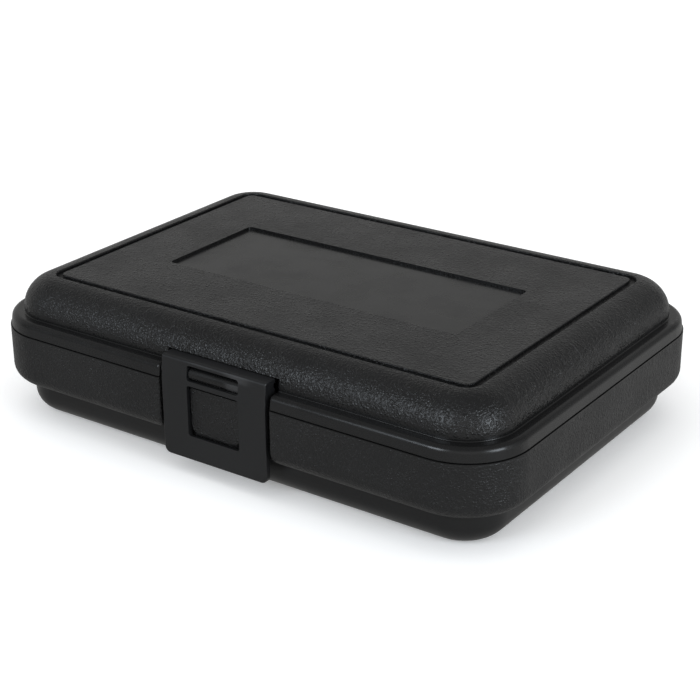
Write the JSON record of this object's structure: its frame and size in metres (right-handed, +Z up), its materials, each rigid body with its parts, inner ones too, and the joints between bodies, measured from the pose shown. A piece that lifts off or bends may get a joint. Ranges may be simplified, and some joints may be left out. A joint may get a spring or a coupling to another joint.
{
  "type": "miniature carry case",
  "caption": "Shallow hinged plastic case for carrying gaming miniatures, with a domed lid, a front snap latch, and foam inserts with a pocket for each figure.",
  "frame": {"origin": "middle of the case's flat underside", "axes": "+Z up, +X along the long side to the right as seen from the latch, the latch on the -Y side and the hinges on the +Y side"},
  "size_m": [0.216, 0.1616, 0.052],
  "materials": {
    "case_plastic": "black, pebble grained, with smooth rim and label area",
    "latch_plastic": "black, smooth satin",
    "pin_steel": "drawn wire, dull",
    "tray_foam": "charcoal open-cell foam, die cut",
    "pad_foam": "charcoal open-cell foam"
  },
  "bodies": {
    "base": {"base_shell": "case_plastic", "hinge_pin_left": "pin_steel", "hinge_pin_right": "pin_steel", "floor_pad": "pad_foam", "figure_tray": "tray_foam"},
    "lid": {"lid_shell": "case_plastic", "lid_pad": "pad_foam"},
    "latch": {"latch": "latch_plastic"}
  },
  "joints": [
    {"name": "lid_hinge", "type": "hinge", "parent": "base", "child": "lid", "pos_m": [0, 0.0806, 0.0341], "axis": [-1, 0, 0], "range_deg": [0, 180]},
    {"name": "latch_pivot", "type": "hinge", "parent": "lid", "child": "latch", "pos_m": [0, -0.0736, 0.0379], "axis": [-1, 0, 0], "range_deg": [0, 75]}
  ]
}
